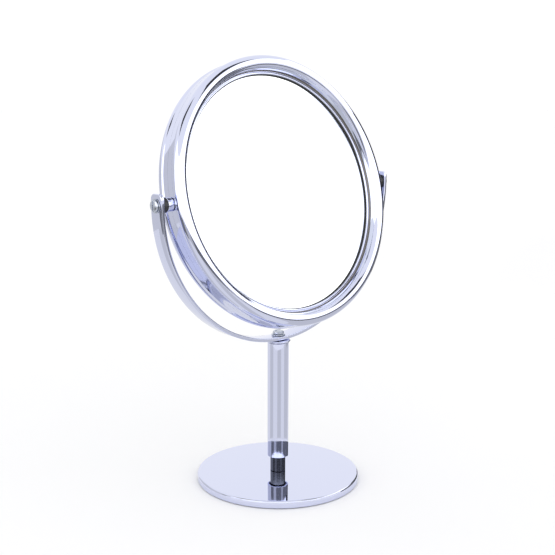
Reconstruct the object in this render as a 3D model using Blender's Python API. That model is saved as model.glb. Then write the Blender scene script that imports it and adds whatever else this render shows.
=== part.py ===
"""Countertop mirror: a double-sided round head that turns in a strap yoke on a round weighted base.

Metres, +Z up. The origin is the centre of the base's underside, on the table.
The pivot axis runs along X, and the plain glass looks towards -Y, leaning back a little.
"""

import math

import bmesh
import bpy
from mathutils import Matrix, Vector

# Clearances
GAP = 0.0003            # between pieces that touch on the real object
SHANK_CLEARANCE = 0.0003  # round a screw in its hole

# Base: a pressed steel dish over a ring weight, with a foam pad below
BASE_RADIUS = 0.0500
BASE_EDGE_ROUND = 0.0014
BASE_WALL = 0.0008
RIM_LIFT = 0.0005       # the dish's rim clears the table
PAD_THICKNESS = 0.0010
PAD_MARGIN = 0.0022     # from the dish's wall to the pad's edge
WEIGHT_BORE = 0.0090    # radius
CLAMP_SHANK = 0.0022    # radius of the base and yoke screws
BASE_SCREW_HEAD = 0.0040
BASE_SCREW_HEAD_HEIGHT = 0.0016
BASE_WASHER = 0.0062
BASE_WASHER_THICKNESS = 0.0005
BASE_SCREW_REACH = 0.0090  # above the dish

# Stem: a straight tube on a narrower turned foot, closed by a collar
TUBE_RADIUS = 0.0065
TUBE_WALL = 0.0009
NECK_STEP = 0.0018      # from the tube's wall in to the neck
NECK_HEIGHT = 0.0098
PLUG_LENGTH = 0.0140
TAPPED_DEPTH = 0.0120
COLLAR_OVERHANG = 0.0009  # past the tube's wall
COLLAR_THICKNESS = 0.0013

# Head: two rolled bezels on a band, a glass in each
HEAD_TILT = math.radians(16.0)  # leans back from upright
OPENING = 0.0696        # radius of the visible glass
LIP_WIDTH = 0.0026      # from the opening to the step below the bead
FRONT_LIP_LEVEL = -0.0020  # the lip's front against the bead's middle: the plain glass lies deep
REAR_LIP_LEVEL = 0.0018  # and the magnifying glass nearly flush
BEAD = 0.0040           # radius of the bead's own section
BEZEL_WALL = 0.0008
GASKET_THICKNESS = 0.0004
GASKET_WIDTH = 0.0024
LIP_COVER = 0.0030      # glass hidden under the lip
GLASS_THICKNESS = 0.0018
GLASS_BEVEL = 0.0004
DISH_DEPTH = 0.0020     # sagitta of the magnifying glass
CARD_MARGIN = 0.0024    # from the glass's edge to the card's
BACKING_THICKNESS = 0.0006
CORE_THICKNESS = 0.0006  # at the middle, where the dished glass comes closest
BAND_WALL = 0.0008
BAND_MARGIN = 0.0002    # from the bead's middle down to the band's edge

# Yoke: a half circle of flat strap
PIVOT_HEIGHT = 0.1785
PIVOT_GAP = 0.0068      # from the head's rim to the strap
STRAP_THICKNESS = 0.0022
STRAP_WIDTH = 0.0096
STRAP_RISE = 0.0064     # from the pivot axis to the strap's end
STRAP_CORNER = 0.0030
STRAP_EDGE = 0.0004
YOKE_WASHER = 0.0042
YOKE_WASHER_THICKNESS = 0.0006
YOKE_SCREW_HEAD = 0.0034
YOKE_SCREW_HEAD_HEIGHT = 0.0024
YOKE_SCREW_REACH = 0.0100  # below the collar

# Pivots
PIVOT_SHANK = 0.0018
PIVOT_HEAD = 0.0034
PIVOT_HEAD_HEIGHT = 0.0013
WAVE_WASHER = 0.0040
WAVE_WASHER_THICKNESS = 0.0004
SPACER_RADIUS = 0.0043
NUT_ACROSS_FLATS = 0.0060
NUT_THICKNESS = 0.0022
PIVOT_TIP = 0.0006      # past the nut
SLOT_WIDTH = 0.0009
SLOT_DEPTH = 0.0007

ROUND = 60              # facets round a large ring
HIDDEN_ROUND = 36       # facets round a large piece that never shows
TUBE_ROUND = 32         # facets round the stem
SMALL_ROUND = 20        # facets round a small turned piece
DISH_STEPS = 3          # rings across the dished glass

# Places that follow from the sizes
PAD_TOP = PAD_THICKNESS
BASE_HEIGHT = PAD_TOP + BASE_SCREW_HEAD_HEIGHT + BASE_WASHER_THICKNESS + BASE_WALL + 3 * GAP
NECK_RADIUS = TUBE_RADIUS - NECK_STEP
COLLAR_RADIUS = TUBE_RADIUS + COLLAR_OVERHANG
# From the middle plane to the bead's middle: room for both stacks, the dish and the core
FACE_DEPTH = BEZEL_WALL + GASKET_THICKNESS + GLASS_THICKNESS + BACKING_THICKNESS + 4 * GAP
BEAD_OFFSET = (CORE_THICKNESS + DISH_DEPTH + 2 * FACE_DEPTH - FRONT_LIP_LEVEL - REAR_LIP_LEVEL) / 2
DISH_UNDER = BASE_HEIGHT - BASE_WALL
TUBE_FOOT = BASE_HEIGHT + NECK_HEIGHT
STEP_RADIUS = OPENING + LIP_WIDTH
BEAD_RING = STEP_RADIUS + BEAD
HEAD_OUTER = BEAD_RING + BEAD
GLASS_RADIUS = OPENING + LIP_COVER
CARD_RADIUS = GLASS_RADIUS - CARD_MARGIN
STRAP_INNER = HEAD_OUTER + PIVOT_GAP
STRAP_RADIUS = STRAP_INNER + STRAP_THICKNESS
STRAP_UNDER = PIVOT_HEIGHT - STRAP_RADIUS
COLLAR_FOOT = STRAP_UNDER - GAP - COLLAR_THICKNESS
TUBE_TOP = COLLAR_FOOT - GAP
TUBE_BORE = TUBE_RADIUS - TUBE_WALL
BAND_OUTER = HEAD_OUTER - BEZEL_WALL - GAP
BAND_INNER = BAND_OUTER - BAND_WALL
BAND_HALF_WIDTH = BEAD_OFFSET - BAND_MARGIN
HOLE = PIVOT_SHANK + SHANK_CLEARANCE
CLAMP_HOLE = CLAMP_SHANK + SHANK_CLEARANCE

HEAD_FRAME = Matrix.Translation((0, 0, PIVOT_HEIGHT)) @ Matrix.Rotation(math.pi / 2 - HEAD_TILT, 4, "X")
SIDES = {"left": -1, "right": 1}


def clear_scene():
    for item in list(bpy.data.objects):
        bpy.data.objects.remove(item, do_unlink=True)


def material(name, colour, roughness, metallic):
    """A Principled material with a plain colour."""
    made = bpy.data.materials.new(name)
    made.use_nodes = True
    shader = made.node_tree.nodes["Principled BSDF"]
    shader.inputs["Base Color"].default_value = (*colour, 1.0)
    shader.inputs["Roughness"].default_value = roughness
    shader.inputs["Metallic"].default_value = metallic
    made.diffuse_color = (*colour, 1.0)
    return made


def add(name, mesh, finish, place=Matrix(), parent=None):
    """One named object, shaded smooth between its sharp edges."""
    item = bpy.data.objects.new(name, mesh)
    bpy.context.collection.objects.link(item)
    mesh.materials.append(finish)
    mesh.shade_smooth()
    mesh.set_sharp_from_angle(angle=math.radians(35))
    item.parent = parent
    item.matrix_world = place
    return item


def arc(centre_r, centre_z, radius, start, end, steps):
    """Points on a circular arc in the (r, z) plane, angles in degrees from +r."""
    points = []
    for step in range(steps + 1):
        angle = math.radians(start + (end - start) * step / steps)
        points.append((centre_r + radius * math.cos(angle), centre_z + radius * math.sin(angle)))
    return points


def box_outline(inner, outer, low, high):
    """The section of a plain ring, or of a disc where inner is 0."""
    return [(inner, low), (outer, low), (outer, high), (inner, high)]


def turned(name, outline, segments):
    """A mesh turned round local Z from a section in the (r, z) plane."""
    shell = bmesh.new()
    corners = [shell.verts.new((r, 0, z)) for r, z in outline]
    edges = []
    for index, corner in enumerate(corners):
        following = corners[(index + 1) % len(corners)]
        on_axis = abs(corner.co.x) < 1e-9 and abs(following.co.x) < 1e-9
        if not on_axis:
            edges.append(shell.edges.new((corner, following)))
    bmesh.ops.spin(shell, geom=corners + edges, cent=(0, 0, 0), axis=(0, 0, 1),
                   angle=2 * math.pi, steps=segments, use_merge=True)
    bmesh.ops.remove_doubles(shell, verts=shell.verts, dist=1e-6)
    bmesh.ops.recalc_face_normals(shell, faces=shell.faces)
    mesh = bpy.data.meshes.new(name)
    shell.to_mesh(mesh)
    shell.free()
    return mesh


def prism(name, radius, sides, low, high):
    """A solid prism round local Z, a cylinder when it has many sides."""
    shell = bmesh.new()
    bmesh.ops.create_cone(shell, cap_ends=True, segments=sides, radius1=radius, radius2=radius,
                          depth=high - low, matrix=Matrix.Translation((0, 0, (low + high) / 2)))
    mesh = bpy.data.meshes.new(name)
    shell.to_mesh(mesh)
    shell.free()
    return mesh


def cutter(name, mesh, place, parent=None):
    """A hidden object that a Boolean takes away."""
    item = bpy.data.objects.new(name, mesh)
    bpy.context.collection.objects.link(item)
    item.hide_render = True
    item.display_type = "WIRE"
    item.parent = parent
    item.matrix_world = place
    return item


def cut(item, tool):
    change = item.modifiers.new("cut " + tool.name, "BOOLEAN")
    change.operation = "DIFFERENCE"
    change.solver = "EXACT"
    change.object = tool


def screw_mesh(name, shank, length, head, head_height, tip_chamfer=0.0004):
    """A domed screw: its head stands up from z = 0 and its shank hangs below."""
    dome = []
    steps = 3
    for step in range(steps + 1):
        angle = math.pi / 2 * step / steps
        dome.append((head * math.cos(angle), head_height * (0.35 + 0.65 * math.sin(angle))))
    outline = [(0, -length), (shank - tip_chamfer, -length), (shank, -length + tip_chamfer),
               (shank, 0), (head, 0)] + dome
    return turned(name, outline, SMALL_ROUND)


def cut_slot(item, name, head, top, place, parent=None):
    """A straight driver slot across a domed head."""
    shell = bmesh.new()
    bmesh.ops.create_cube(shell, size=1.0)
    bmesh.ops.scale(shell, verts=shell.verts, vec=(4 * head, SLOT_WIDTH, 2 * SLOT_DEPTH))
    bmesh.ops.translate(shell, verts=shell.verts, vec=(0, 0, top))
    mesh = bpy.data.meshes.new(name)
    shell.to_mesh(mesh)
    shell.free()
    cut(item, cutter(name, mesh, place, parent))


def build_base(chrome, steel, foam):
    """The pad on the table, the dish, the weight in it, and the screw that holds the stem."""
    dish_bore = BASE_RADIUS - BASE_WALL
    rim = arc(BASE_RADIUS - BASE_EDGE_ROUND, BASE_HEIGHT - BASE_EDGE_ROUND, BASE_EDGE_ROUND, 0, 90, 4)
    inside = arc(BASE_RADIUS - BASE_EDGE_ROUND, BASE_HEIGHT - BASE_EDGE_ROUND,
                 BASE_EDGE_ROUND - BASE_WALL, 90, 0, 2)
    dish = [(dish_bore, RIM_LIFT), (BASE_RADIUS, RIM_LIFT)] + rim
    dish += [(CLAMP_HOLE, BASE_HEIGHT), (CLAMP_HOLE, DISH_UNDER)] + inside
    add("base_shell", turned("base_shell", dish, ROUND), chrome)

    pad = box_outline(0, dish_bore - PAD_MARGIN, 0, PAD_TOP)
    add("base_pad", turned("base_pad", pad, HIDDEN_ROUND), foam)

    weight = box_outline(WEIGHT_BORE, dish_bore - GAP - BASE_EDGE_ROUND, PAD_TOP + GAP, DISH_UNDER - GAP)
    add("base_weight", turned("base_weight", weight, HIDDEN_ROUND), steel)

    washer_top = DISH_UNDER - GAP
    washer_foot = washer_top - BASE_WASHER_THICKNESS
    washer = box_outline(CLAMP_HOLE, BASE_WASHER, washer_foot, washer_top)
    add("base_washer", turned("base_washer", washer, SMALL_ROUND), steel)

    seat = washer_foot - GAP
    length = BASE_HEIGHT + BASE_SCREW_REACH - seat
    upward = Matrix.Translation((0, 0, seat)) @ Matrix.Rotation(math.pi, 4, "X")
    screw = screw_mesh("base_screw", CLAMP_SHANK, length, BASE_SCREW_HEAD, BASE_SCREW_HEAD_HEIGHT)
    made = add("base_screw", screw, steel, upward)
    cut_slot(made, "base_screw_slot", BASE_SCREW_HEAD, BASE_SCREW_HEAD_HEIGHT, upward)


def build_stem(chrome, dark_chrome, steel):
    """The turned foot, the tube, the plug in its top and the collar under the strap."""
    bore_top = BASE_HEIGHT + GAP + TAPPED_DEPTH
    plug = TUBE_BORE - GAP
    foot_top = TUBE_FOOT + PLUG_LENGTH
    foot = [(0, foot_top), (plug, foot_top), (plug, TUBE_FOOT + TUBE_WALL), (NECK_RADIUS, TUBE_FOOT + TUBE_WALL),
            (NECK_RADIUS, BASE_HEIGHT + GAP), (CLAMP_HOLE, BASE_HEIGHT + GAP), (CLAMP_HOLE, bore_top),
            (0, bore_top)]
    add("stem_foot", turned("stem_foot", foot, TUBE_ROUND), dark_chrome)

    ease = TUBE_WALL / 3
    tube = [(TUBE_BORE, TUBE_FOOT), (TUBE_RADIUS - ease, TUBE_FOOT), (TUBE_RADIUS, TUBE_FOOT + ease),
            (TUBE_RADIUS, TUBE_TOP - ease), (TUBE_RADIUS - ease, TUBE_TOP), (TUBE_BORE, TUBE_TOP)]
    add("stem_tube", turned("stem_tube", tube, TUBE_ROUND), chrome)

    bore_foot = TUBE_TOP - TAPPED_DEPTH
    top = [(0, TUBE_TOP - PLUG_LENGTH), (plug, TUBE_TOP - PLUG_LENGTH), (plug, TUBE_TOP),
           (CLAMP_HOLE, TUBE_TOP), (CLAMP_HOLE, bore_foot), (0, bore_foot)]
    add("stem_top_plug", turned("stem_top_plug", top, TUBE_ROUND), steel)

    half = COLLAR_THICKNESS / 2
    edge = arc(COLLAR_RADIUS - half, COLLAR_FOOT + half, half, -90, 90, 6)
    collar = [(CLAMP_HOLE, COLLAR_FOOT)] + edge + [(CLAMP_HOLE, COLLAR_FOOT + COLLAR_THICKNESS)]
    add("stem_collar", turned("stem_collar", collar, TUBE_ROUND), chrome)


def strap_stations():
    """Points along the strap's outer face, each with its inward normal and its distance to the end."""
    places = []
    easing = 4
    for step in range(easing + 1):
        to_end = STRAP_CORNER * (1 - math.cos(math.pi / 2 * step / easing))
        places.append((Vector((-STRAP_RADIUS, 0, STRAP_RISE - to_end)), Vector((1, 0, 0)), to_end))
    turns = 40
    for step in range(turns + 1):
        angle = math.pi * step / turns
        outward = Vector((-math.cos(angle), 0, -math.sin(angle)))
        places.append((outward * STRAP_RADIUS, -outward, STRAP_RISE))
    for place, inward, to_end in reversed(places[:easing + 1]):
        places.append((Vector((-place.x, 0, place.z)), -inward, to_end))
    return places


def strap_mesh():
    shell = bmesh.new()
    rings = []
    for place, inward, to_end in strap_stations():
        short = max(STRAP_CORNER - to_end, 0)
        half = STRAP_WIDTH / 2 - STRAP_CORNER + math.sqrt(STRAP_CORNER ** 2 - short ** 2)
        section = []
        for depth, width in ((0, half - STRAP_EDGE), (STRAP_EDGE, half),
                             (STRAP_THICKNESS - STRAP_EDGE, half), (STRAP_THICKNESS, half - STRAP_EDGE)):
            section.append((depth, width))
        section += [(depth, -width) for depth, width in reversed(section)]
        rings.append([shell.verts.new(place + inward * depth + Vector((0, width, 0)))
                      for depth, width in section])
    for near, far in zip(rings, rings[1:]):
        for side in range(len(near)):
            following = (side + 1) % len(near)
            shell.faces.new((near[side], near[following], far[following], far[side]))
    shell.faces.new(rings[0])
    shell.faces.new(rings[-1])
    bmesh.ops.recalc_face_normals(shell, faces=shell.faces)
    mesh = bpy.data.meshes.new("yoke_strap")
    shell.to_mesh(mesh)
    shell.free()
    return mesh


def build_yoke(chrome, steel):
    """The strap with its three holes, and the screw and washer that hold it on the stem."""
    strap = add("yoke_strap", strap_mesh(), chrome, Matrix.Translation((0, 0, PIVOT_HEIGHT)))
    reach = STRAP_RADIUS + STRAP_THICKNESS
    across = prism("pivot_hole", HOLE, SMALL_ROUND, -reach, reach)
    sideways = Matrix.Translation((0, 0, PIVOT_HEIGHT)) @ Matrix.Rotation(math.pi / 2, 4, "Y")
    cut(strap, cutter("pivot_hole", across, sideways))
    down = prism("clamp_hole", CLAMP_HOLE, SMALL_ROUND, -2 * STRAP_THICKNESS, 2 * STRAP_THICKNESS)
    cut(strap, cutter("clamp_hole", down, Matrix.Translation((0, 0, STRAP_UNDER))))

    washer_foot = PIVOT_HEIGHT - STRAP_INNER + GAP
    washer_top = washer_foot + YOKE_WASHER_THICKNESS
    washer = box_outline(CLAMP_HOLE, YOKE_WASHER, washer_foot, washer_top)
    add("yoke_washer", turned("yoke_washer", washer, SMALL_ROUND), steel)

    seat = washer_top + GAP
    length = seat - COLLAR_FOOT + YOKE_SCREW_REACH
    screw = screw_mesh("yoke_screw", CLAMP_SHANK, length, YOKE_SCREW_HEAD, YOKE_SCREW_HEAD_HEIGHT)
    place = Matrix.Translation((0, 0, seat))
    made = add("yoke_screw", screw, steel, place)
    cut_slot(made, "yoke_screw_slot", YOKE_SCREW_HEAD, YOKE_SCREW_HEAD_HEIGHT, place)


def stack(lip_level):
    """Levels of one face's layers from the lip down, in the head's own frame."""
    lip_front = BEAD_OFFSET + lip_level
    gasket_front = lip_front - BEZEL_WALL - GAP
    glass_front = gasket_front - GASKET_THICKNESS - GAP
    backing_front = glass_front - GLASS_THICKNESS - GAP
    return {"lip": lip_front, "gasket": gasket_front, "glass": glass_front, "backing": backing_front}


def bezel_outline(lip_front):
    """The rolled section: lip, step, bead and skirt, with the same wall all along."""
    start = 180 if lip_front < BEAD_OFFSET else 150
    outer = arc(BEAD_RING, BEAD_OFFSET, BEAD, start, 0, 8)
    inner = arc(BEAD_RING, BEAD_OFFSET, BEAD - BEZEL_WALL, 0, start, 4)
    skirt = GAP / 2
    lip_back = lip_front - BEZEL_WALL
    foot = STEP_RADIUS + BEZEL_WALL if lip_front < BEAD_OFFSET else STEP_RADIUS
    lip = [(foot, lip_back), (OPENING, lip_back), (OPENING, lip_front), (STEP_RADIUS, lip_front)]
    return lip + outer + [(HEAD_OUTER, skirt), (HEAD_OUTER - BEZEL_WALL, skirt)] + inner


def dish_profile(radius, sagitta, level):
    """Points from the axis out to a radius on a face that dips by the sagitta at its middle."""
    steps = DISH_STEPS if sagitta else 1
    points = []
    for step in range(steps + 1):
        r = radius * step / steps
        points.append((r, level - sagitta * (1 - (r / GLASS_RADIUS) ** 2)))
    return points


def glass_outline(sagitta, glass_front):
    """A round glass with a ground edge; a sagitta above 0 dishes it for magnifying."""
    flat = GLASS_RADIUS - GLASS_BEVEL
    glass_back = glass_front - GLASS_THICKNESS
    front = dish_profile(flat, sagitta, glass_front)
    back = dish_profile(flat, sagitta, glass_back)
    edge = [(GLASS_RADIUS, glass_front - GLASS_BEVEL), (GLASS_RADIUS, glass_back + GLASS_BEVEL)]
    return front + edge + back[::-1]


def backing_outline(sagitta, backing_front):
    """A card disc that follows the back of its glass."""
    front = dish_profile(CARD_RADIUS, sagitta, backing_front)
    back = dish_profile(CARD_RADIUS, sagitta, backing_front - BACKING_THICKNESS)
    return front + back[::-1]


def core_outline():
    """The filler: flat behind the plain glass, hollowed behind the dished one."""
    front = stack(FRONT_LIP_LEVEL)["backing"] - BACKING_THICKNESS - GAP
    rear_level = stack(REAR_LIP_LEVEL)["backing"] - BACKING_THICKNESS
    rear = [(r, GAP - level) for r, level in dish_profile(CARD_RADIUS, DISH_DEPTH, rear_level)]
    return [(0, front), (CARD_RADIUS, front)] + rear[::-1]


def build_face(name, finishes, sagitta, lip_level, turn, head):
    """One face of the head: bezel, gasket, glass and backing, turned to its side."""
    chrome, silver, rubber, card = finishes
    place = HEAD_FRAME @ turn
    levels = stack(lip_level)
    add(name + "_bezel", turned(name + "_bezel", bezel_outline(levels["lip"]), ROUND), chrome, place, head)
    gasket = box_outline(OPENING + GAP, OPENING + GAP + GASKET_WIDTH, levels["gasket"] - GASKET_THICKNESS,
                         levels["gasket"])
    add(name + "_gasket", turned(name + "_gasket", gasket, HIDDEN_ROUND), rubber, place, head)
    glass = glass_outline(sagitta, levels["glass"])
    add(name + "_glass", turned(name + "_glass", glass, ROUND), silver, place, head)
    backing = backing_outline(sagitta, levels["backing"])
    add(name + "_backing", turned(name + "_backing", backing, HIDDEN_ROUND), card, place, head)


def build_head(chrome, silver, rubber, card, steel):
    """The drum: a band with a bezel and a glass on each side, and a card core between."""
    head = bpy.data.objects.new("head_pivot", None)
    bpy.context.collection.objects.link(head)
    head.matrix_world = Matrix.Translation((0, 0, PIVOT_HEIGHT))
    bpy.context.view_layer.update()

    finishes = (chrome, silver, rubber, card)
    build_face("front", finishes, 0.0, FRONT_LIP_LEVEL, Matrix(), head)
    build_face("rear", finishes, DISH_DEPTH, REAR_LIP_LEVEL, Matrix.Rotation(math.pi, 4, "X"), head)

    band = box_outline(BAND_INNER, BAND_OUTER, -BAND_HALF_WIDTH, BAND_HALF_WIDTH)
    made = add("drum_band", turned("drum_band", band, ROUND), steel, HEAD_FRAME, head)
    reach = HEAD_OUTER + STRAP_THICKNESS
    hole = prism("band_hole", HOLE, SMALL_ROUND, -reach, reach)
    along = HEAD_FRAME @ Matrix.Rotation(math.pi / 2, 4, "Y")
    band_hole = cutter("band_hole", hole, along, head)
    for name in ("drum_band", "front_bezel", "rear_bezel"):
        cut(bpy.data.objects[name], band_hole)

    add("core_sheet", turned("core_sheet", core_outline(), HIDDEN_ROUND), card, HEAD_FRAME, head)
    return head


def build_pivot(side, head, steel, nylon):
    """Screw, wave washer, spacer and nut of one pivot, stacked along the X axis."""
    sign = SIDES[side]
    outward = Matrix.Translation((0, 0, PIVOT_HEIGHT)) @ Matrix.Rotation(sign * math.pi / 2, 4, "Y")
    wave_foot = STRAP_RADIUS + GAP
    seat = wave_foot + WAVE_WASHER_THICKNESS + GAP
    nut_top = BAND_INNER - GAP
    nut_foot = nut_top - NUT_THICKNESS
    length = seat - nut_foot + PIVOT_TIP

    screw = screw_mesh("pivot_screw_" + side, PIVOT_SHANK, length, PIVOT_HEAD, PIVOT_HEAD_HEIGHT)
    place = outward @ Matrix.Translation((0, 0, seat))
    made = add("pivot_screw_" + side, screw, steel, place, head)
    cut_slot(made, "pivot_slot_" + side, PIVOT_HEAD, PIVOT_HEAD_HEIGHT, place, head)

    wave = box_outline(HOLE, WAVE_WASHER, wave_foot, wave_foot + WAVE_WASHER_THICKNESS)
    add("wave_washer_" + side, turned("wave_washer_" + side, wave, SMALL_ROUND), steel, outward, head)

    spacer = box_outline(HOLE, SPACER_RADIUS, HEAD_OUTER + GAP, STRAP_INNER - GAP)
    add("pivot_spacer_" + side, turned("pivot_spacer_" + side, spacer, SMALL_ROUND), nylon, outward, head)

    nut = prism("pivot_nut_" + side, NUT_ACROSS_FLATS / math.sqrt(3), 6, nut_foot, nut_top)
    made = add("pivot_nut_" + side, nut, steel, outward, head)
    bore = prism("nut_bore_" + side, HOLE, SMALL_ROUND, nut_foot - NUT_THICKNESS, nut_top + NUT_THICKNESS)
    cut(made, cutter("nut_bore_" + side, bore, outward, head))


def build():
    clear_scene()
    chrome = material("polished_chrome", (0.80, 0.82, 0.88), 0.05, 1.0)
    dark_chrome = material("dark_chrome", (0.45, 0.46, 0.50), 0.10, 1.0)
    steel = material("zinc_steel", (0.55, 0.56, 0.58), 0.30, 1.0)
    silver = material("silvered_glass", (0.95, 0.96, 0.97), 0.02, 1.0)
    foam = material("eva_foam", (0.06, 0.06, 0.07), 0.90, 0.0)
    rubber = material("black_rubber", (0.03, 0.03, 0.03), 0.80, 0.0)
    nylon = material("black_nylon", (0.02, 0.02, 0.02), 0.45, 0.0)
    card = material("grey_board", (0.40, 0.38, 0.35), 0.95, 0.0)
    build_base(chrome, steel, foam)
    build_stem(chrome, dark_chrome, steel)
    build_yoke(chrome, steel)
    head = build_head(chrome, silver, rubber, card, steel)
    for side in SIDES:
        build_pivot(side, head, steel, nylon)


build()
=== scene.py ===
# %% [markdown]
# A countertop mirror in Blender, step by step.
# The object is a round double-sided mirror. Two chromed rims hold a glass each, the pair turns in a
# strap bent to a half circle, and a straight stem stands on a round weighted base.
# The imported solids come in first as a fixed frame. Each visible piece is then modelled again with
# finer sections, because polished metal shows every facet in its reflections.

# %% Load the frame
import math

import bpy
from mathutils import Matrix, Vector


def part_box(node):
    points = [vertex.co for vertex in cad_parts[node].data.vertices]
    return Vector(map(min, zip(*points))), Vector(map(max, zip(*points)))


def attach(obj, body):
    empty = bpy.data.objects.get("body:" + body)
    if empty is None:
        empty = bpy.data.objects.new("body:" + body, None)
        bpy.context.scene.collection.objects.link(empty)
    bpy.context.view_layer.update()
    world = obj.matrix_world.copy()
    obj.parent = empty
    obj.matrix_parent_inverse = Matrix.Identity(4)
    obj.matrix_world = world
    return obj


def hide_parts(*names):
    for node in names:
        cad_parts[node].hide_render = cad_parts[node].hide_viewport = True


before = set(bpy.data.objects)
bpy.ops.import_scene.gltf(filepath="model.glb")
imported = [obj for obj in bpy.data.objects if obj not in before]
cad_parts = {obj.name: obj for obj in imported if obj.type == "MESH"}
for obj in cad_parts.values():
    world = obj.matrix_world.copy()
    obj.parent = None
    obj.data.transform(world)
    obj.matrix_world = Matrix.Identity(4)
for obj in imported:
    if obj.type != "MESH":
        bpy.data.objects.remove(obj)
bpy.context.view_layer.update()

# %% [markdown]
# Sizes come from the frame where a node's box gives them. A round piece's radius is half its width
# along X, since the head turns about X and its tilt doesn't change that width.


# %% Sizes from the frame
def half_width(node):
    """Half the width of a node along X, in metres."""
    low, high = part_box(node)
    return (high[0] - low[0]) / 2


def level(node, end):
    """The lowest (0) or highest (1) level of a node."""
    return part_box(node)[end][2]


MM = 0.001
GAP = 0.3 * MM
TILT = math.radians(16)
pivot_height = (level("pivot_nut_left", 0) + level("pivot_nut_left", 1)) / 2
head_radius = half_width("front_bezel")
glass_radius = half_width("front_glass")
base_radius = half_width("base_shell")
base_top = level("base_shell", 1)
print("pivot at", round(pivot_height, 4), "head radius", round(head_radius, 4))

# %% [markdown]
# Modelling helpers. A turned piece is drawn as a half section and spun round the Z axis, as on a
# lathe. The section starts as one point of a primitive, and each next point is extruded from the last.
# Spinning can turn a shell inside out, so its doubles are merged and its normals recalculated.


# %% Arcs and smooth curves for sections
def arc(centre, radius, start, end, steps):
    """Points round a centre in the (r, z) plane, angles in degrees from the outward direction."""
    points = []
    for step in range(steps + 1):
        angle = math.radians(start + (end - start) * step / steps)
        points.append((centre[0] + radius * math.cos(angle), centre[1] + radius * math.sin(angle)))
    return points


def smooth(points, steps):
    """A rounded line through a few points, by Catmull and Rom's rule."""
    padded = [points[0]] + list(points) + [points[-1]]
    line = []
    for a, b, c, d in zip(padded, padded[1:], padded[2:], padded[3:]):
        for step in range(steps):
            t = step / steps
            line.append(tuple(0.5 * (2 * b[i] + (c[i] - a[i]) * t + (2 * a[i] - 5 * b[i] + 4 * c[i] - d[i]) * t ** 2
                                     + (3 * b[i] - a[i] - 3 * c[i] + d[i]) * t ** 3) for i in (0, 1)))
    return line + [points[-1]]


# %% Starting, spinning and placing a piece
def let_go():
    """Leave nothing selected, so the next operator acts on the new piece alone."""
    if bpy.context.object and bpy.context.object.mode != "OBJECT":
        bpy.ops.object.mode_set(mode="OBJECT")
    bpy.ops.object.select_all(action="DESELECT")


def named(name):
    piece = bpy.context.object
    piece.name = name
    piece.data.name = name
    return piece


def turned(name, section, steps=160, closed=True):
    """Draw a half section point by point and spin it once round Z."""
    let_go()
    bpy.ops.mesh.primitive_circle_add(vertices=3, radius=MM, location=(section[0][0], 0, section[0][1]))
    piece = named(name)
    bpy.ops.object.transform_apply()
    bpy.ops.object.mode_set(mode="EDIT")
    bpy.ops.mesh.select_mode(type="VERT")
    bpy.ops.mesh.select_all(action="SELECT")
    bpy.ops.mesh.merge(type="CENTER")
    path = section + section[:1] if closed else section
    for here, there in zip(path, path[1:]):
        bpy.ops.mesh.extrude_region_move(
            TRANSFORM_OT_translate={"value": (there[0] - here[0], 0, there[1] - here[1])})
    bpy.ops.mesh.select_all(action="SELECT")
    bpy.ops.mesh.spin(steps=steps, angle=2 * math.pi, center=(0, 0, 0), axis=(0, 0, 1))
    bpy.ops.mesh.select_all(action="SELECT")
    bpy.ops.mesh.remove_doubles(threshold=1e-6)
    bpy.ops.mesh.normals_make_consistent(inside=False)
    bpy.ops.object.mode_set(mode="OBJECT")
    return piece


def put(piece, place):
    """Move a finished piece to its place and store the place in its mesh."""
    let_go()
    piece.select_set(True)
    bpy.context.view_layer.objects.active = piece
    piece.matrix_world = place
    bpy.ops.object.transform_apply(location=True, rotation=True, scale=True)
    return piece


def apply_all(piece):
    let_go()
    piece.select_set(True)
    bpy.context.view_layer.objects.active = piece
    for change in list(piece.modifiers):
        bpy.ops.object.modifier_apply(modifier=change.name)


def settle(piece, body, finish, stands_for, sharp=35):
    """Shade, colour and hand a finished piece to its body."""
    let_go()
    piece.select_set(True)
    bpy.context.view_layer.objects.active = piece
    bpy.ops.object.shade_smooth_by_angle(angle=math.radians(sharp))
    if not piece.data.materials:
        piece.data.materials.append(finish)
    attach(piece, body)
    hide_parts(*stands_for)
    print(piece.name, len(piece.data.polygons), "faces for", ", ".join(stands_for))
    return piece


head_frame = Matrix.Translation((0, 0, pivot_height)) @ Matrix.Rotation(math.pi / 2 - TILT, 4, "X")
rear_frame = head_frame @ Matrix.Rotation(math.pi, 4, "X")

# %% [markdown]
# Materials. Every finish starts from what the real one is and how it was made. Colours are given as
# sRGB hex and turned to linear by one function, and one function adds a node with its links.


# %% Colour and node helpers
def linear(hex_colour):
    """An sRGB hex colour as linear RGBA."""
    parts = [int(hex_colour[i:i + 2], 16) / 255 for i in (1, 3, 5)]
    return tuple(v / 12.92 if v <= 0.04045 else ((v + 0.055) / 1.055) ** 2.4 for v in parts) + (1.0,)


def add_node(tree, kind, values=(), **settings):
    """Add a node, set its properties, and fill or link its inputs by name or number."""
    made = tree.nodes.new(kind)
    for key, value in settings.items():
        setattr(made, key, value)
    for key, value in dict(values).items():
        if isinstance(value, bpy.types.NodeSocket):
            tree.links.new(value, made.inputs[key])
        else:
            made.inputs[key].default_value = value
    return made


def new_finish(name, colour, metallic, roughness):
    """A Principled material with its plain values set on the shader's own sockets."""
    made = bpy.data.materials.new(name)
    made.use_nodes = True
    shader = made.node_tree.nodes["Principled BSDF"]
    shader.inputs["Base Color"].default_value = linear(colour)
    shader.inputs["Metallic"].default_value = metallic
    shader.inputs["Roughness"].default_value = roughness
    return made, made.node_tree, shader


def stretch(tree, value, low, high):
    """Spread a 0 to 1 pattern between two values."""
    return add_node(tree, "ShaderNodeMapRange", {"Value": value, "To Min": low, "To Max": high}).outputs[0]


def place_of(tree):
    return add_node(tree, "ShaderNodeTexCoord").outputs["Object"]


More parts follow.
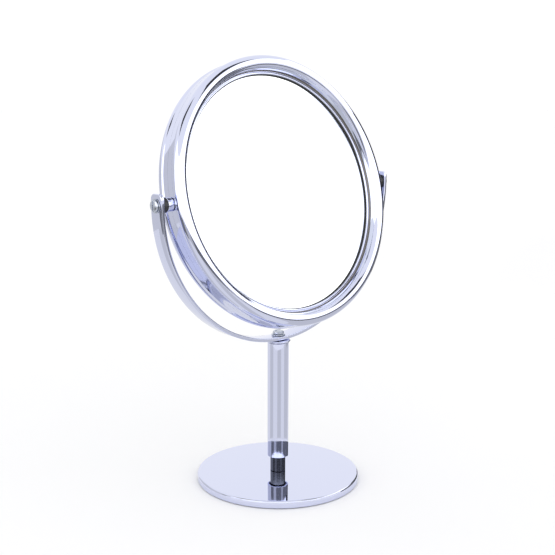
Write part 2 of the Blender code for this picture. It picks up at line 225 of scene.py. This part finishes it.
# %% [markdown]
# Bright chrome plate. A buffed steel part is plated with nickel and then with under a micron of
# chromium, which is blue-white and nearly as smooth as glass. The eye sees clean reflections with a
# faint haze where the buffing wheel left it less even, in patches of about 8 mm. The haze is drawn a
# little stronger than real so that it shows at all.

# %% Chrome plate
chrome, tree, shader = new_finish("bright_chrome_plate", "#d6daf0", 1.0, 0.04)
haze = add_node(tree, "ShaderNodeTexNoise", {"Vector": place_of(tree), "Scale": 1 / (8 * MM), "Detail": 2.0})
patch = add_node(tree, "ShaderNodeMapRange",
                 {"Value": haze.outputs["Fac"], "From Min": 0.35, "From Max": 0.65, "To Min": 0.02, "To Max": 0.07})
tree.links.new(patch.outputs[0], shader.inputs["Roughness"])
print("made", chrome.name)

# %% [markdown]
# The rim's narrow well gets painted shade: a darker, duller plate colour that stands in for the shade
# falling in the recess, with a grain of a fifth of a millimetre.

# %% Painted shade in the well
# Painted shade: a dark grey plate colour for the shade inside the rim's well.
well_painted_shade, tree, shader = new_finish("painted_well_shade", "#6d6a68", 1.0, 0.3)
grain = add_node(tree, "ShaderNodeTexNoise", {"Vector": place_of(tree), "Scale": 1 / (0.2 * MM), "Detail": 2.0})
tree.links.new(stretch(tree, grain.outputs["Fac"], 0.2, 0.4), shader.inputs["Roughness"])
print("made", well_painted_shade.name)

# %% [markdown]
# The stem's foot is turned from bar and plated without buffing, so fine tool marks run round it. Its dark
# grey colour is painted shade, for the dark of the slim neck between tube and base. Real feed marks are
# about 0.1 mm apart. They are drawn 1 mm apart here so that they show. At a scale of 1 a wave texture's
# bands turn by 20 radians in a metre, and the scale follows from that.

# %% Turned foot with painted shade
# Painted shade: the dark grey base colour stands for the shade on the foot's neck.
foot_plate_painted_shade, tree, shader = new_finish("turned_plate_painted_shade", "#70747f", 1.0, 0.12)
mark_spacing = 1.0 * MM
rings = add_node(tree, "ShaderNodeTexWave",
                 {"Vector": place_of(tree), "Scale": 2 * math.pi / 20 / mark_spacing, "Distortion": 0.2},
                 wave_type="BANDS", bands_direction="Z")
marks = add_node(tree, "ShaderNodeBump", {"Height": rings.outputs["Fac"], "Strength": 0.06, "Distance": 0.02 * MM})
tree.links.new(marks.outputs[0], shader.inputs["Normal"])
tree.links.new(stretch(tree, rings.outputs["Fac"], 0.08, 0.16), shader.inputs["Roughness"])
print("made", foot_plate_painted_shade.name)

# %% [markdown]
# Screws, washers and the parts inside are zinc-plated steel: grey, softer in its shine than chrome,
# with crystals of about half a millimetre and a faint blue passivation.

# %% Zinc plate
zinc, tree, shader = new_finish("zinc_plated_steel", "#c6ccd8", 1.0, 0.3)
grains = add_node(tree, "ShaderNodeTexVoronoi", {"Vector": place_of(tree), "Scale": 1 / (0.5 * MM)})
shade = add_node(tree, "ShaderNodeMix",
                 {0: grains.outputs["Distance"], 6: linear("#bcc2cf"), 7: linear("#d4d9e3")}, data_type="RGBA")
tree.links.new(shade.outputs[2], shader.inputs["Base Color"])
tree.links.new(stretch(tree, grains.outputs["Distance"], 0.16, 0.30), shader.inputs["Roughness"])
print("made", zinc.name)

# %% [markdown]
# The mirror is float glass silvered on its back, 1.8 mm thick. What the eye sees is the silver
# through clear glass, so it is a nearly perfect metal with a trace of green-grey, and the glass's
# own front face adds a second, weak reflection, which the coat gives.

# %% Silvered glass
silvered, tree, shader = new_finish("silvered_float_glass", "#f6f9f8", 1.0, 0.0)
shader.inputs["Coat Weight"].default_value = 0.4
shader.inputs["Coat Roughness"].default_value = 0.0
film = add_node(tree, "ShaderNodeTexNoise", {"Vector": place_of(tree), "Scale": 1 / (30 * MM), "Detail": 1.0})
tree.links.new(stretch(tree, film.outputs["Fac"], 0.0, 0.012), shader.inputs["Roughness"])

ground_edge, tree, shader = new_finish("ground_glass_edge", "#9fb5ac", 0.0, 0.5)
grit = add_node(tree, "ShaderNodeTexNoise", {"Vector": place_of(tree), "Scale": 1 / (0.2 * MM)})
marks = add_node(tree, "ShaderNodeBump", {"Height": grit.outputs["Fac"], "Strength": 0.4, "Distance": 0.03 * MM})
tree.links.new(marks.outputs[0], shader.inputs["Normal"])
print("made", silvered.name, ground_edge.name)

# %% [markdown]
# The pivot spacers are moulded nylon, black and satin, with a mould texture of about 0.2 mm. The
# gasket is matt rubber, the base's pad is closed-cell EVA foam with pores of about 0.4 mm, and the
# fillers are grey board, a pressed waste-paper sheet with flecks and fibres.

# %% Nylon, rubber, foam and board
def grained(name, colours, roughness, grain, depth):
    """A dull material mottled between two colours with a fine relief, both of one grain size."""
    made, tree, shader = new_finish(name, colours[0], 0.0, roughness)
    mottle = add_node(tree, "ShaderNodeTexNoise",
                      {"Vector": place_of(tree), "Scale": 1 / (grain * MM), "Detail": 3.0})
    ramp = add_node(tree, "ShaderNodeValToRGB", {"Fac": mottle.outputs["Fac"]})
    ramp.color_ramp.elements[0].position, ramp.color_ramp.elements[1].position = 0.35, 0.65
    ramp.color_ramp.elements[0].color, ramp.color_ramp.elements[1].color = (linear(c) for c in colours)
    tree.links.new(ramp.outputs["Color"], shader.inputs["Base Color"])
    relief = add_node(tree, "ShaderNodeBump",
                      {"Height": mottle.outputs["Fac"], "Strength": 0.5, "Distance": depth * MM})
    tree.links.new(relief.outputs[0], shader.inputs["Normal"])
    return made


nylon = grained("moulded_black_nylon", ("#17181b", "#222328"), 0.42, 0.2, 0.01)
rubber = grained("matt_black_rubber", ("#1c1c1e", "#28282a"), 0.8, 0.3, 0.02)
foam = grained("closed_cell_eva_foam", ("#26262a", "#38383d"), 0.9, 0.4, 0.08)
board = grained("grey_board", ("#8b8780", "#a39f96"), 0.95, 0.6, 0.05)

# %% [markdown]
# The rim. On the real mirror it is a ring of sheet steel, rolled over a former: a round bead on
# the outside, a well inside it, and a small second roll that comes down onto the glass. Its section
# is drawn as one closed line, with the sheet's 0.8 mm wall, and spun. Below the bead the sheet is
# necked in by 0.7 mm, which gives the dark line along the bead's outside. The well matters most: its
# shape and the painted shade on its faces draw the dark lines inside the bright bead. The plain glass
# lies deep, and the other one, which is dished, nearly flush, so the two rims differ only in how far
# their inner roll comes down.

# %% Rim sections
opening = glass_radius - 3 * MM
bead, bead_offset = 4.0 * MM, 6.2 * MM
bead_ring = head_radius - bead
neck_radius = head_radius - 0.7 * MM
sheet, seam = 0.8 * MM, 0.03 * MM
lip_levels = {"front": -2.0 * MM, "rear": 1.8 * MM}
well_angles = {"front": 180, "rear": 122}


def rim_section(lip_level, start):
    """The rim's section for an inner roll at a level against the bead's middle."""
    lip = bead_offset + lip_level
    deep = lip_level < 0
    roll = [(0.0, -0.7), (0.05, -0.3), (0.45, 0.0), (1.0, -0.05), (1.5, -0.25)]
    well = [(1.9, -0.2), (2.25, 0.25), (2.5, 1.0)] if deep else [(2.0, -0.35), (2.7, 0.0), (3.4, 0.8)]
    face = smooth([(opening + r * MM, lip + z * MM) for r, z in roll + well], 5)
    face += arc((bead_ring, bead_offset), bead, start, -24, 34)
    wall = [(neck_radius + 0.05 * MM, bead_offset - 2.1 * MM), (neck_radius, bead_offset - 2.5 * MM),
            (neck_radius, seam), (neck_radius - sheet, seam), (neck_radius - sheet, bead_offset - 1.9 * MM)]
    under = arc((bead_ring, bead_offset), bead - sheet, -20, start, 16)
    heel = opening + (3.4 if deep else 2.7) * MM
    return face + wall + under + [(heel, lip - 0.3 * MM), (heel - 0.8 * MM, lip - 0.8 * MM)]


sections = {side: rim_section(lip_levels[side], well_angles[side]) for side in lip_levels}
print("rim sections of", [len(section) for section in sections.values()], "points")

# %% Both rims
places = {"front": head_frame, "rear": rear_frame}
well_start, well_end, well_floor = 1.7 * MM, 2.4 * MM, bead_offset - 3.0 * MM
for side, place in places.items():
    rim = turned(side + "_rim", sections[side], steps=240)
    rim.data.materials.append(chrome)
    rim.data.materials.append(well_painted_shade)
    # Faces down in the well take the second slot, the painted shade that darkens the recess.
    for polygon in rim.data.polygons:
        across = Vector(polygon.center[:2]).length - opening
        if well_start < across < well_end and polygon.center.z > well_floor:
            polygon.material_index = 1
    settle(put(rim, place), "head", chrome, [side + "_bezel"], sharp=50)

# %% [markdown]
# The glasses. The front one is a flat disc. The rear one is dished by 2 mm at its middle, which makes
# it magnify. Each has a small ground bevel, and its edge and bevel get the ground finish while both
# faces keep the silver.

# %% Both glasses
glass_thickness, bevel = 1.8 * MM, 0.4 * MM
face_levels = {"front": 2.4 * MM, "rear": 6.2 * MM}


def glass_section(face_level, dip, rings):
    """A disc of even thickness whose middle lies lower than its edge by a dip."""
    flat = glass_radius - bevel
    sweep = [(flat * n / rings, -dip * (1 - (n / rings * flat / glass_radius) ** 2)) for n in range(rings + 1)]
    front = [(r, face_level + z) for r, z in sweep]
    back = [(r, face_level - glass_thickness + z) for r, z in sweep]
    edge = [(glass_radius, face_level - bevel), (glass_radius, face_level - glass_thickness + bevel)]
    return front + edge + back[::-1]


for side, dip, rings in (("front", 0.0, 4), ("rear", 2 * MM, 24)):
    glass = turned(side + "_mirror", glass_section(face_levels[side], dip, rings), closed=False)
    glass.data.materials.append(silvered)
    glass.data.materials.append(ground_edge)
    for polygon in glass.data.polygons:
        rim_side = Vector(polygon.center[:2]).length > glass_radius - 0.9 * bevel
        polygon.material_index = 1 if rim_side and abs(polygon.normal.z) < 0.9 else 0
    settle(put(glass, places[side]), "head", silvered, [side + "_glass"], sharp=20)

# %% [markdown]
# A black rubber ring is squeezed between each glass and its rim, and its inner edge shows as a thin
# dark line round the glass.

# %% Both gaskets
squeezed = [(-0.45, 0.02), (1.9, 0.02), (1.9, 0.85), (-0.05, 0.85), (-0.3, 0.8), (-0.45, 0.6)]
for side, place in places.items():
    seal = turned(side + "_seal", [(opening + r * MM, face_levels[side] + z * MM) for r, z in squeezed])
    settle(put(seal, place), "head", rubber, [side + "_gasket"])

# %% [markdown]
# The yoke is one length of flat steel strap, bent cold to a half circle, its ends rounded and its
# edges tumbled before plating. A small plate primitive is the strap's cross-section at one pivot.
# Spun half a turn about the pivot axis's middle it becomes the half circle, and both cut ends are
# extruded up past the pivots. Bevels give the corners and edges, and Booleans the three holes.

# %% Bend the strap
strap_radius = half_width("yoke_strap")
strap_thickness = 2.2 * MM
strap_width = 9.6 * MM
strap_rise = level("yoke_strap", 1) - pivot_height
corner_radius, tumbled_radius = 3 * MM, 0.45 * MM
let_go()
bpy.ops.mesh.primitive_plane_add(size=1, location=(-strap_radius + strap_thickness / 2, 0, 0))
strap = named("yoke")
strap.scale = (strap_thickness, strap_width, 1)
bpy.ops.object.transform_apply()
bpy.ops.object.mode_set(mode="EDIT")
bpy.ops.mesh.select_all(action="SELECT")
bpy.ops.mesh.spin(steps=120, angle=math.pi, center=(0, 0, 0), axis=(0, 1, 0))
bpy.ops.object.mode_set(mode="OBJECT")
low = min(v.co.z for v in strap.data.vertices)
print("half circle reaches down to", round(low, 4), "faces", len(strap.data.polygons))


# %% Ends, corners and edges of the strap
def pick(piece, kind, test):
    """Select the faces or edges that a test says yes to, and go into edit mode."""
    bpy.ops.object.mode_set(mode="EDIT")
    bpy.ops.mesh.select_mode(type=kind)
    bpy.ops.mesh.select_all(action="DESELECT")
    bpy.ops.object.mode_set(mode="OBJECT")
    found = piece.data.polygons if kind == "FACE" else piece.data.edges
    for item in found:
        item.select = bool(test(item))
    print(piece.name, "picked", sum(item.select for item in found), kind.lower(), "items")
    bpy.ops.object.mode_set(mode="EDIT")


pick(strap, "FACE", lambda face: abs(face.center.z) < 1e-6)
bpy.ops.mesh.extrude_region_move(TRANSFORM_OT_translate={"value": (0, 0, strap_rise)})
bpy.ops.object.mode_set(mode="OBJECT")


def end_corner(edge):
    a, b = (strap.data.vertices[i].co for i in edge.vertices)
    return min(a.z, b.z) > strap_rise - 1e-6 and abs(a.y - b.y) < 1e-6


pick(strap, "EDGE", end_corner)
bpy.ops.mesh.bevel(offset=corner_radius, segments=10, affect="EDGES")
bpy.ops.mesh.select_all(action="SELECT")
bpy.ops.mesh.remove_doubles(threshold=1e-6)
bpy.ops.mesh.normals_make_consistent(inside=False)
bpy.ops.object.mode_set(mode="OBJECT")
tumbled = strap.modifiers.new("tumbled edge", "BEVEL")
tumbled.width, tumbled.segments, tumbled.limit_method = tumbled_radius, 3, "ANGLE"
tumbled.angle_limit = math.radians(50)
apply_all(strap)
print("strap has", len(strap.data.polygons), "faces")


# %% Holes in the strap
def drill(piece, radius, depth, place):
    """Take a round hole out of a piece."""
    let_go()
    bpy.ops.mesh.primitive_cylinder_add(vertices=40, radius=radius, depth=depth)
    tool = put(named("drill"), place)
    change = piece.modifiers.new("hole", "BOOLEAN")
    change.operation, change.solver, change.object = "DIFFERENCE", "EXACT", tool
    apply_all(piece)
    bpy.data.objects.remove(tool, do_unlink=True)


axle_hole, bolt_hole = 2.1 * MM, 2.5 * MM
drill(strap, axle_hole, 3 * strap_radius, Matrix.Rotation(math.pi / 2, 4, "Y"))
drill(strap, bolt_hole, 12 * MM, Matrix.Translation((0, 0, -strap_radius)))
put(strap, Matrix.Translation((0, 0, pivot_height)))
settle(strap, "stand", chrome, ["yoke_strap"], sharp=30)

# %% [markdown]
# Stem and base. The tube is drawn steel with both ends eased, the foot is turned with a shoulder
# inside the tube and a slim neck below it, and the collar is a thin ring with a full round edge.
# The base is a shallow dish pressed from sheet, and its rim turns down to just above the table.

# %% Tube, foot and collar
tube_radius = half_width("stem_tube")
tube_foot, tube_top = level("stem_tube", 0), level("stem_tube", 1)
bore = tube_radius - 0.9 * MM
ease = 0.3 * MM
tube_section = [(bore, tube_foot), (tube_radius - ease, tube_foot)]
tube_section += arc((tube_radius - ease, tube_foot + ease), ease, -90, 0, 5)[1:]
tube_section += arc((tube_radius - ease, tube_top - ease), ease, 0, 90, 5) + [(bore, tube_top)]
settle(turned("tube", tube_section, steps=96), "stand", chrome, ["stem_tube"])

foot_low, foot_high = level("stem_foot", 0), level("stem_foot", 1)
neck, plug = 4.7 * MM, bore - GAP
shoulder = tube_foot + 0.9 * MM
nick, tapped = 0.05 * MM, 12 * MM
foot_section = [(0, foot_high), (plug - ease, foot_high), (plug, foot_high - ease), (plug, shoulder),
                (neck, shoulder), (neck, foot_low + nick), (neck - nick, foot_low), (bolt_hole, foot_low),
                (bolt_hole, foot_low + tapped), (0, foot_low + tapped)]
# The foot's dark grey finish is painted shade on its neck.
settle(turned("foot", foot_section, steps=96, closed=False), "stand", foot_plate_painted_shade, ["stem_foot"])

collar_radius = half_width("stem_collar")
collar_low, collar_high = level("stem_collar", 0), level("stem_collar", 1)
half = (collar_high - collar_low) / 2
collar_section = arc((collar_radius - half, collar_low + half), half, -90, 90, 14)
collar_section = [(bolt_hole, collar_low)] + collar_section + [(bolt_hole, collar_high)]
settle(turned("collar", collar_section, steps=96), "stand", chrome, ["stem_collar"])

# %% Base
round_edge, wall, cut_edge = 1.4 * MM, 0.8 * MM, 0.15 * MM
rim_low = level("base_shell", 0)
corner = (base_radius - round_edge, base_top - round_edge)
base_section = [(base_radius - wall, rim_low), (base_radius - cut_edge, rim_low), (base_radius, rim_low + cut_edge)]
base_section += arc(corner, round_edge, 0, 90, 14) + [(bolt_hole, base_top), (bolt_hole, base_top - wall)]
base_section += arc(corner, round_edge - wall, 90, 0, 6)
settle(turned("base", base_section, steps=240), "stand", chrome, ["base_shell"], sharp=40)

# %% [markdown]
# Screws, washers and spacers. All the screws are alike: a domed head with a straight slot and a
# plain shank with a pointed end. One function models a screw at the origin, and each use makes its
# own. The slot is a small bar taken out with a Boolean, and a narrow bevel softens it.


# %% Domed screws
def domed_screw(name, shank, length, head, height):
    """A screw whose head stands up from z = 0 and whose shank hangs below."""
    point = 0.4 * MM
    dome = [(head, 0.15 * height), (head, 0.35 * height)]
    dome += [(head * math.cos(a), height * (0.35 + 0.65 * math.sin(a)))
             for a in (math.pi / 2 * n / 12 for n in range(1, 12))] + [(0, height)]
    section = [(0, -length), (shank - point, -length), (shank, -length + point), (shank, 0), (head - 0.1 * MM, 0)]
    screw = turned(name, section + dome, steps=48, closed=False)
    let_go()
    bpy.ops.mesh.primitive_cube_add(size=1)
    bar_size = (4 * head, 0.9 * MM, 1.4 * MM, 1)
    bar = put(named("slot_bar"), Matrix.Translation((0, 0, height)) @ Matrix.Diagonal(bar_size))
    change = screw.modifiers.new("slot", "BOOLEAN")
    change.operation, change.solver, change.object = "DIFFERENCE", "EXACT", bar
    apply_all(screw)
    bpy.data.objects.remove(bar, do_unlink=True)
    soft = screw.modifiers.new("soft edge", "BEVEL")
    soft.width, soft.segments, soft.limit_method = 0.08 * MM, 2, "ANGLE"
    soft.angle_limit = math.radians(55)
    apply_all(screw)
    return screw


washer_low, washer_high = level("yoke_washer", 0), level("yoke_washer", 1)
washer_radius = half_width("yoke_washer")
edge = 0.12 * MM
washer_section = [(bolt_hole, washer_low), (washer_radius - edge, washer_low), (washer_radius, washer_low + edge),
                  (washer_radius, washer_high - edge), (washer_radius - edge, washer_high), (bolt_hole, washer_high)]
settle(turned("clamp_washer", washer_section, steps=64), "stand", zinc, ["yoke_washer"])
screw_low, screw_high = level("yoke_screw", 0), level("yoke_screw", 1)
head_height = 2.4 * MM
head_foot = screw_high - head_height
clamp = domed_screw("clamp_screw", 2.2 * MM, head_foot - screw_low, half_width("yoke_screw"), head_height)
settle(put(clamp, Matrix.Translation((0, 0, head_foot))), "stand", zinc, ["yoke_screw"])

# %% [markdown]
# Each pivot is a stack along the X axis: the screw, a wave washer that springs against the strap,
# and a spacer between strap and rim. The spacer shows as a black nylon ring with a small chromed
# boss on the rim's side. The wave washer starts as a finely cut flat ring, and its points are then
# moved in code, three waves round, by a tenth of a millimetre.

# %% Pivots
inner, outer = neck_radius + GAP, strap_radius - strap_thickness - GAP
joint = outer - 3.2 * MM
chamfer, sleeve_radius, boss_radius = 0.3 * MM, 4.3 * MM, 3.9 * MM
wave_foot, wave_thickness, wave_radius, wave_lift = strap_radius + GAP, 0.4 * MM, 4.0 * MM, 0.1 * MM
for side, sign in (("left", -1), ("right", 1)):
    outward = Matrix.Translation((0, 0, pivot_height)) @ Matrix.Rotation(sign * math.pi / 2, 4, "Y")
    ring = [(axle_hole, 0.0), (wave_radius - 0.1 * MM, 0.0), (wave_radius, 0.1 * MM), (wave_radius, 0.3 * MM),
            (wave_radius - 0.1 * MM, wave_thickness), (axle_hole, wave_thickness)]
    wave = turned("wave_ring_" + side, [(r, wave_foot + z) for r, z in ring], steps=72)
    for vertex in wave.data.vertices:
        vertex.co.z += wave_lift * math.sin(3 * math.atan2(vertex.co.y, vertex.co.x))
    settle(put(wave, outward), "head", zinc, ["wave_washer_" + side])

    sleeve = [(axle_hole, joint), (sleeve_radius - chamfer, joint), (sleeve_radius, joint + chamfer),
              (sleeve_radius, outer - chamfer), (sleeve_radius - chamfer, outer), (axle_hole, outer)]
    settle(put(turned("sleeve_" + side, sleeve, steps=64), outward), "head", nylon,
           ["pivot_spacer_" + side])
    boss = [(axle_hole, inner), (boss_radius, inner)]
    boss += arc((boss_radius - 0.3 * MM, joint - 0.5 * MM), 0.4 * MM, 0, 90, 5) + [(axle_hole, joint - 0.1 * MM)]
    settle(put(turned("boss_" + side, boss, steps=64), outward), "head", chrome,
           ["pivot_spacer_" + side])

    seat = wave_foot + wave_thickness + GAP
    tip = abs(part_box("pivot_screw_" + side)[0 if sign > 0 else 1][0])
    screw = domed_screw("axle_screw_" + side, 1.8 * MM, seat - tip, 3.4 * MM, 1.3 * MM)
    put(screw, outward @ Matrix.Translation((0, 0, seat)))
    settle(screw, "head", zinc, ["pivot_screw_" + side])

# %% [markdown]
# The pieces that never show, or only from below, keep their frame solids and get their own
# finishes: the pad, the weight, the lower screw and washer, the plugs, band, nuts and cards.

# %% Finishes of the frame's own solids
kept = {"base_pad": foam, "core_sheet": board, "front_backing": board, "rear_backing": board}
kept.update({name: zinc for name in ("base_weight", "base_washer", "base_screw", "stem_top_plug", "drum_band",
                                     "pivot_nut_left", "pivot_nut_right")})
replaced = {"base_shell": chrome, "stem_tube": chrome, "stem_foot": foot_plate_painted_shade, "stem_collar": chrome,
            "yoke_strap": chrome, "yoke_washer": zinc, "yoke_screw": zinc, "front_bezel": chrome,
            "rear_bezel": chrome, "front_glass": silvered, "rear_glass": silvered, "front_gasket": rubber,
            "rear_gasket": rubber}
replaced.update({kind + "_" + side: finish for side in ("left", "right") for kind, finish in
                 (("pivot_screw", zinc), ("wave_washer", zinc), ("pivot_spacer", nylon))})
for node, finish in {**kept, **replaced}.items():
    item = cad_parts[node]
    item.data.materials.clear()
    item.data.materials.append(finish)
print("finished", len(kept) + len(replaced), "frame solids")

# %% [markdown]
# The studio. The mirror stands on a white floor under soft light from all round. Polished chrome
# shows the room rather than itself. So the room is built for it, with white boxes that make the
# bright bands, grey paper on the floor, and dark flags that draw the thin black lines.

# %% Floor
let_go()
bpy.ops.mesh.primitive_plane_add(size=8)
floor = named("studio_floor")
paper, tree, shader = new_finish("white_studio_paper", "#fbfbfc", 0.0, 0.9)
shader.inputs["Specular IOR Level"].default_value = 0.1
floor.data.materials.append(paper)

# %% Room light
world = bpy.data.worlds.new("white_room")
bpy.context.scene.world = world
world.use_nodes = True
sky = world.node_tree.nodes["Background"]
sky.inputs["Color"].default_value = linear("#ffffff")
sky.inputs["Strength"].default_value = 1.05
bpy.context.scene.view_settings.view_transform = "Standard"


# %% Boxes and flags
def card(name, low, high, spans, strength):
    """A band round the mirror between two (r, z) edges, kept only over some spans of azimuth.

    Azimuth 0 is the way the plain glass looks, and it grows towards +X. The band is seen only in
    reflections, and gives no light to the floor.
    """
    made = turned(name, [low, high], steps=180, closed=False)
    pick(made, "FACE", lambda face: not any(a < math.degrees(math.atan2(face.center.x, -face.center.y)) < b
                                            for a, b in spans))
    bpy.ops.mesh.delete(type="FACE")
    bpy.ops.object.mode_set(mode="OBJECT")
    look = bpy.data.materials.new(name + "_card")
    look.use_nodes = True
    look.node_tree.nodes.clear()
    glow = add_node(look.node_tree, "ShaderNodeEmission", {"Color": (1, 1, 1, 1), "Strength": strength})
    add_node(look.node_tree, "ShaderNodeOutputMaterial", {"Surface": glow.outputs[0]})
    made.data.materials.append(look)
    made.visible_camera = made.visible_diffuse = made.visible_shadow = False


card("wide_box", (1.5, 0.10), (1.3, 1.30), [(-118, 98)], 1.9)
card("right_flag", (1.0, 0.03), (1.0, 0.28), [(53, 116)], 0.04)
card("right_high", (1.0, 0.28), (0.95, 0.55), [(62, 112)], 0.04)
card("right_floor", (0.45, 0.004), (1.0, 0.004), [(60, 116)], 0.15)
card("high_flag", (0.9, 1.10), (0.5, 1.60), [(-140, -105), (20, 60)], 0.05)
card("low_flag", (0.30, 0.068), (0.30, 0.142), [(-122, -88), (-60, -2), (14, 90)], 0.20)
card("low_gap", (0.31, 0.068), (0.31, 0.145), [(-88, -60), (-2, 14)], 0.60)
card("floor_grey", (0.06, 0.002), (0.64, 0.002), [(-135, -95), (-50, -12), (25, 85)], 0.70)
card("floor_pale", (0.06, 0.001), (0.64, 0.001), [(-180, 180)], 0.90)
card("left_screen", (0.55, 0.0), (0.55, 0.36), [(-179, -114)], 0.74)

# %% Camera
eye = Vector((-0.4313, -0.4710, 0.2593))
focal, turn_z, pitch, roll = 1087.0, -0.7335, 0.2209, 0.0018
image_width = 555
lens = bpy.data.cameras.new("studio_camera")
camera = bpy.data.objects.new("studio_camera", lens)
bpy.context.collection.objects.link(camera)
camera.matrix_world = (Matrix.Translation(eye) @ Matrix.Rotation(turn_z, 4, "Z")
                       @ Matrix.Rotation(math.pi / 2 - pitch, 4, "X") @ Matrix.Rotation(roll, 4, "Z"))
lens.sensor_width = 36
lens.lens = focal * lens.sensor_width / image_width
lens.shift_x, lens.shift_y = 0.0135, 0.0330
bpy.context.scene.camera = camera
print("camera lens", round(lens.lens, 1))
